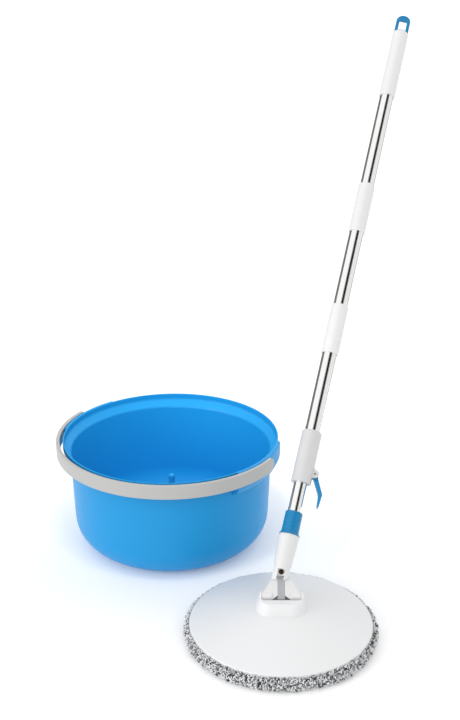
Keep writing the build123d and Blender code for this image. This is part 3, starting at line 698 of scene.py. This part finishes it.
def add_loop(verts, faces, tones, spot, frame_matrix, tone, settings, sides, count, chance):
    """Adds one loop of yarn to the growing mesh lists."""
    width = settings.height * chance.uniform(0.65, 1.05)
    height = settings.height * chance.uniform(0.55, 1.05)
    lean = settings.height * chance.uniform(-0.4, 0.4)
    path = list(loop_points(lean, width, height, count))
    yarn = settings.yarn * chance.uniform(0.85, 1.15)
    first = len(verts)
    for i, point in enumerate(path):
        ahead = path[min(i + 1, count - 1)] - path[max(i - 1, 0)]
        ahead.normalize()
        side = ahead.cross(Vector((0, 1, 0))).normalized()
        other = ahead.cross(side)
        for k in range(sides):
            angle = 2 * math.pi * k / sides
            offset = (side * math.cos(angle) + other * math.sin(angle)) * yarn
            verts.append(spot + frame_matrix @ (point + offset))
            tones.append(tone)
    for i in range(count - 1):
        for k in range(sides):
            a = first + i * sides + k
            b = first + i * sides + (k + 1) % sides
            faces.append((a, b, b + sides, a + sides))


def yarn_tone(chance):
    """A loop's colour: mostly white and pale grey, with some charcoal."""
    pick = chance.random()
    if pick < 0.66:
        level = chance.uniform(0.86, 0.98)
    elif pick < 0.80:
        level = chance.uniform(0.50, 0.78)
    elif pick < 0.87:
        level = chance.uniform(0.12, 0.30)
    else:
        level = chance.uniform(0.008, 0.03)
    return (level, level * 1.01, level * 1.03, 1.0)


def pile_spots(body, settings, chance):
    """Scattered places on the cloth that loops grow from, with the cloth's normal there."""
    mesh = body.data
    mesh.calc_loop_triangles()
    for triangle in mesh.loop_triangles:
        corners = [mesh.vertices[i].co for i in triangle.vertices]
        middle = (corners[0] + corners[1] + corners[2]) / 3
        radius = distance_from_axis(middle)
        hidden = middle.z > PAD_TOP - 0.003 and radius < BACKING_RADIUS - 0.003
        if hidden:
            continue
        under = middle.z < 0.006 and radius < PAD_RADIUS - 0.012
        pitch = settings.under_pitch if under else settings.pitch
        wanted = triangle.area / pitch**2
        number = int(wanted) + (1 if chance.random() < wanted - int(wanted) else 0)
        for _ in range(number):
            a, b = chance.random(), chance.random()
            if a + b > 1:
                a, b = 1 - a, 1 - b
            spot = corners[0] + (corners[1] - corners[0]) * a + (corners[2] - corners[0]) * b
            yield spot, triangle.normal.copy(), under


def pile_mesh(body):
    """Every loop of the pad's pile, as one mesh with a tone on each loop."""
    settings = bpy.context.scene.spin_mop_pile
    chance = random.Random(settings.seed)
    verts, faces, tones = [], [], []
    for spot, normal, under in pile_spots(body, settings, chance):
        turn = Matrix.Rotation(chance.uniform(0, math.pi), 3, "Z")
        tilt = (normal + Vector([chance.uniform(-0.35, 0.35) for _ in range(3)])).normalized()
        stand = tilt.to_track_quat("Z", "Y").to_matrix() @ turn
        sides, count = (3, 5) if under else (4, 6)
        add_loop(verts, faces, tones, spot, stand, yarn_tone(chance), settings, sides, count, chance)
    limit = PAD_RADIUS + PILE_MARGIN
    for point in verts:
        point.z = max(point.z, 0.0002)
        radius = distance_from_axis(point)
        if radius > limit:
            point.x = HEAD_X + (point.x - HEAD_X) * limit / radius
            point.y = HEAD_Y + (point.y - HEAD_Y) * limit / radius
        if radius < PLATE_EDGE + PLATE_MARGIN and point.z > PAD_TOP:
            out = (PLATE_EDGE + PLATE_MARGIN) / radius
            point.x = HEAD_X + (point.x - HEAD_X) * out
            point.y = HEAD_Y + (point.y - HEAD_Y) * out
    mesh = bpy.data.meshes.new("pad_pile")
    mesh.from_pydata([tuple(v) for v in verts], [], faces)
    layer = mesh.color_attributes.new("yarn_tone", "FLOAT_COLOR", "POINT")
    layer.data.foreach_set("color", [c for tone in tones for c in tone])
    mesh.shade_smooth()
    return bpy.data.objects.new("pad_pile", mesh)


def shown(piece, material, body):
    """Puts a new piece in the scene with its finish, riding on a body."""
    bpy.context.scene.collection.objects.link(piece)
    piece.data.materials.append(material)
    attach(piece, body)
    return piece


# ---------------------------------------------------------------- operators
class SPINMOP_OT_bucket(bpy.types.Operator):
    """Finish the bucket and its spin post"""

    bl_idname = "spinmop.bucket"
    bl_label = "Bucket"

    def execute(self, context):
        dress(bucket_plastic(), "bucket_shell", "post_cone", "post_cap")
        dress(bright_steel(), "post_pin")
        return {"FINISHED"}


class SPINMOP_OT_bail(bpy.types.Operator):
    """Finish the carrying strap and its studs"""

    bl_idname = "spinmop.bail"
    bl_label = "Bail"

    def execute(self, context):
        dress(bail_plastic(), "bail_strap", "bail_studs")
        return {"FINISHED"}


class SPINMOP_OT_head(bpy.types.Operator):
    """Finish the mop's plate and what is fixed under it"""

    bl_idname = "spinmop.head"
    bl_label = "Mop head"

    def execute(self, context):
        dress(plate_plastic(), "head_plate")
        dress(rib_plastic(), "base_disc")
        dress(bright_steel(), "base_screws", "hinge_pins")
        dress(natural_nylon(), "drive_socket")
        dress(hook_tape(), "hook_rings")
        return {"FINISHED"}


class SPINMOP_OT_pad(bpy.types.Operator):
    """Puff the pad's cloth and grow its loop pile"""

    bl_idname = "spinmop.pad"
    bl_label = "Microfibre pad"

    def execute(self, context):
        dress(rib_plastic(), "pad_backing")
        body = pad_form()
        shown(body, pile_ground(), "pad")
        puff(body)
        crumple(body)
        body.data.shade_smooth()
        pile = pile_mesh(body)
        shown(pile, pile_yarn(), "pad")
        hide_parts("pad_fibre")
        return {"FINISHED"}


class SPINMOP_OT_knuckle(bpy.types.Operator):
    """Finish the wishbone link, its rib and the knuckle"""

    bl_idname = "spinmop.knuckle"
    bl_label = "Knuckle"

    def execute(self, context):
        dress(white_plastic(), "link_frame", "cone_socket")
        dress(rib_plastic(), "link_rib")
        # The knuckle pin's dark brown is painted shade and a painted warm reflection.
        dress(rivet_painted_shade(), "knuckle_pin")
        return {"FINISHED"}


class SPINMOP_OT_pole(bpy.types.Operator):
    """Finish the tubes, sleeves, drive and fittings of the pole"""

    bl_idname = "spinmop.pole"
    bl_label = "Pole"

    def execute(self, context):
        dress(tube_chrome(), "lower_tube", "tube_1", "tube_2", "tube_3")
        dress(clamp_plastic(), "clamp_body")
        dress(white_plastic(), "joint_sleeve_1", "joint_sleeve_2", "top_grip")
        dress(accent_plastic(), "lock_collar", "hanger_cap", "clamp_lever")
        dress(natural_nylon(), "clutch_housing", "clutch_ring", "drive_nut", "guide_bush")
        dress(rib_plastic(), "joiner_1", "joiner_2")
        dress(bright_steel(), "twist_rod", "rod_pin", "lever_pin")
        return {"FINISHED"}


def area_light(name, place, target, size, power):
    """A square softbox at a place, facing a target."""
    data = bpy.data.lights.new(name, "AREA")
    data.shape = "RECTANGLE"
    data.size, data.size_y = size
    data.energy = power
    light = bpy.data.objects.new(name, data)
    light.location = place
    light.rotation_euler = (Vector(target) - Vector(place)).to_track_quat("-Z", "Y").to_euler()
    bpy.context.scene.collection.objects.link(light)
    return light


def stage_card(name, centre, along, across, size, tone):
    """A card beside the pole that is seen only in gloss: it gives the tubes their dark lines."""
    along = along.normalized()
    half = along * size[0] / 2
    side = across.normalized() * size[1] / 2
    mesh = bpy.data.meshes.new(name)
    corners = [centre - half - side, centre + half - side, centre + half + side, centre - half + side]
    mesh.from_pydata([tuple(c) for c in corners], [], [(0, 1, 2, 3)])
    material = bpy.data.materials.new(name)
    material.use_nodes = True
    shader = material.node_tree.nodes["Principled BSDF"]
    shader.inputs["Base Color"].default_value = (tone, tone, tone, 1)
    shader.inputs["Roughness"].default_value = 1.0
    shader.inputs["Specular IOR Level"].default_value = 0.0
    mesh.materials.append(material)
    card = bpy.data.objects.new(name, mesh)
    bpy.context.scene.collection.objects.link(card)
    card.visible_camera = False
    card.visible_diffuse = False
    card.visible_shadow = False
    card.visible_transmission = False
    return card


class SPINMOP_OT_stage(bpy.types.Operator):
    """Lay the pale floor and set the soft light and the camera"""

    bl_idname = "spinmop.stage"
    bl_label = "Studio"

    def execute(self, context):
        scene = context.scene
        stage = scene.spin_mop_stage
        self.floor()
        self.room(scene, stage)
        self.lights(stage)
        self.cards(stage)
        self.camera(scene, stage)
        return {"FINISHED"}

    def floor(self):
        form = bmesh.new()
        bmesh.ops.create_grid(form, x_segments=2, y_segments=2, size=FLOOR_HALF)
        mesh = bpy.data.meshes.new("studio_floor")
        form.to_mesh(mesh)
        form.free()
        material, tree, shader = new_material("Studio floor")
        place = add_node(tree, "ShaderNodeTexCoord").outputs["Object"]
        mottle = noise_node(tree, place, 3.0, 2.0)
        level = spread(tree, mottle.outputs["Fac"], 0.945, 0.955)
        grey = add_node(tree, "ShaderNodeCombineColor")
        for channel in ("Red", "Green", "Blue"):
            tree.links.new(level, grey.inputs[channel])
        tree.links.new(grey.outputs[0], shader.inputs["Base Color"])
        shader.inputs["Roughness"].default_value = 0.9
        shader.inputs["Specular IOR Level"].default_value = 0.1
        shader.inputs["Emission Strength"].default_value = FLOOR_LIFT
        mesh.materials.append(material)
        floor = bpy.data.objects.new("studio_floor", mesh)
        floor.location.z = CAD_BOX[0][2] - 0.0002
        bpy.context.scene.collection.objects.link(floor)

    def room(self, scene, stage):
        world = bpy.data.worlds.new("White room")
        world.use_nodes = True
        background = world.node_tree.nodes["Background"]
        background.inputs["Color"].default_value = (1, 1, 1, 1)
        background.inputs["Strength"].default_value = stage.room
        scene.world = world
        scene.view_settings.view_transform = "Standard"

    def lights(self, stage):
        sun = bpy.data.lights.new("key_light", "SUN")
        sun.energy = stage.key
        sun.angle = math.radians(KEY_SOFTNESS)
        key = bpy.data.objects.new("key_light", sun)
        key.rotation_euler = Vector(KEY_TOWARD).to_track_quat("Z", "Y").to_euler()
        bpy.context.scene.collection.objects.link(key)
        fill = area_light("bucket_fill", FILL_PLACE, FILL_TARGET, FILL_SIZE, stage.bucket_fill)
        fill.data.spread = math.radians(FILL_SPREAD)
        fill.visible_camera = False
        fill.visible_glossy = False

    def cards(self, stage):
        eye = Vector((stage.camera_side, -stage.camera_back, stage.camera_height))
        middle = POLE_FOOT + POLE_UP * 0.5
        seen = (eye - middle).normalized()
        facing = (seen - POLE_UP * seen.dot(POLE_UP)).normalized()
        rise = -seen.dot(POLE_UP) / facing.dot(seen)
        for name, turn, half_angle, tone, distance in TUBE_CARDS:
            direction = Matrix.Rotation(math.radians(turn), 3, POLE_UP) @ facing
            centre = middle + (direction + POLE_UP * rise) * distance
            width = 2 * distance * math.tan(math.radians(half_angle))
            stage_card(name, centre, POLE_UP, POLE_UP.cross(direction), (CARD_LENGTH, width), tone)

    def camera(self, scene, stage):
        data = bpy.data.cameras.new("camera")
        data.lens = stage.lens
        data.sensor_width = 36
        data.clip_end = 100
        camera = bpy.data.objects.new("camera", data)
        camera.location = (stage.camera_side, -stage.camera_back, stage.camera_height)
        camera.rotation_euler = (math.pi / 2 - stage.camera_pitch, 0, 0)
        scene.collection.objects.link(camera)
        scene.camera = camera


class SPINMOP_PT_panel(bpy.types.Panel):
    """Lists the spin mop's settings and steps"""

    bl_label = "Spin Mop"
    bl_idname = "SPINMOP_PT_panel"
    bl_space_type = "VIEW_3D"
    bl_region_type = "UI"
    bl_category = "Spin Mop"

    def draw(self, context):
        layout = self.layout
        scene = context.scene
        for group in (scene.spin_mop_finish, scene.spin_mop_pile, scene.spin_mop_stage):
            box = layout.box()
            for name in group.bl_rna.properties.keys():
                if name not in ("rna_type", "name"):
                    box.prop(group, name)
        for step in STEPS:
            layout.operator(step.bl_idname)


STEPS = (
    SPINMOP_OT_stage,
    SPINMOP_OT_bucket,
    SPINMOP_OT_bail,
    SPINMOP_OT_head,
    SPINMOP_OT_pad,
    SPINMOP_OT_knuckle,
    SPINMOP_OT_pole,
)
CLASSES = (SpinMopFinish, SpinMopPile, SpinMopStage, *STEPS, SPINMOP_PT_panel)


def register():
    for cls in CLASSES:
        bpy.utils.register_class(cls)
    bpy.types.Scene.spin_mop_finish = PointerProperty(type=SpinMopFinish)
    bpy.types.Scene.spin_mop_pile = PointerProperty(type=SpinMopPile)
    bpy.types.Scene.spin_mop_stage = PointerProperty(type=SpinMopStage)


def unregister():
    del bpy.types.Scene.spin_mop_stage
    del bpy.types.Scene.spin_mop_pile
    del bpy.types.Scene.spin_mop_finish
    for cls in reversed(CLASSES):
        bpy.utils.unregister_class(cls)


def main():
    """Builds every piece and the studio."""
    register()
    for step in STEPS:
        area, action = step.bl_idname.split(".")
        result = getattr(getattr(bpy.ops, area), action)()
        if "FINISHED" not in result:
            raise RuntimeError(f"{step.bl_label} didn't finish")


if __name__ == "__main__":
    main()
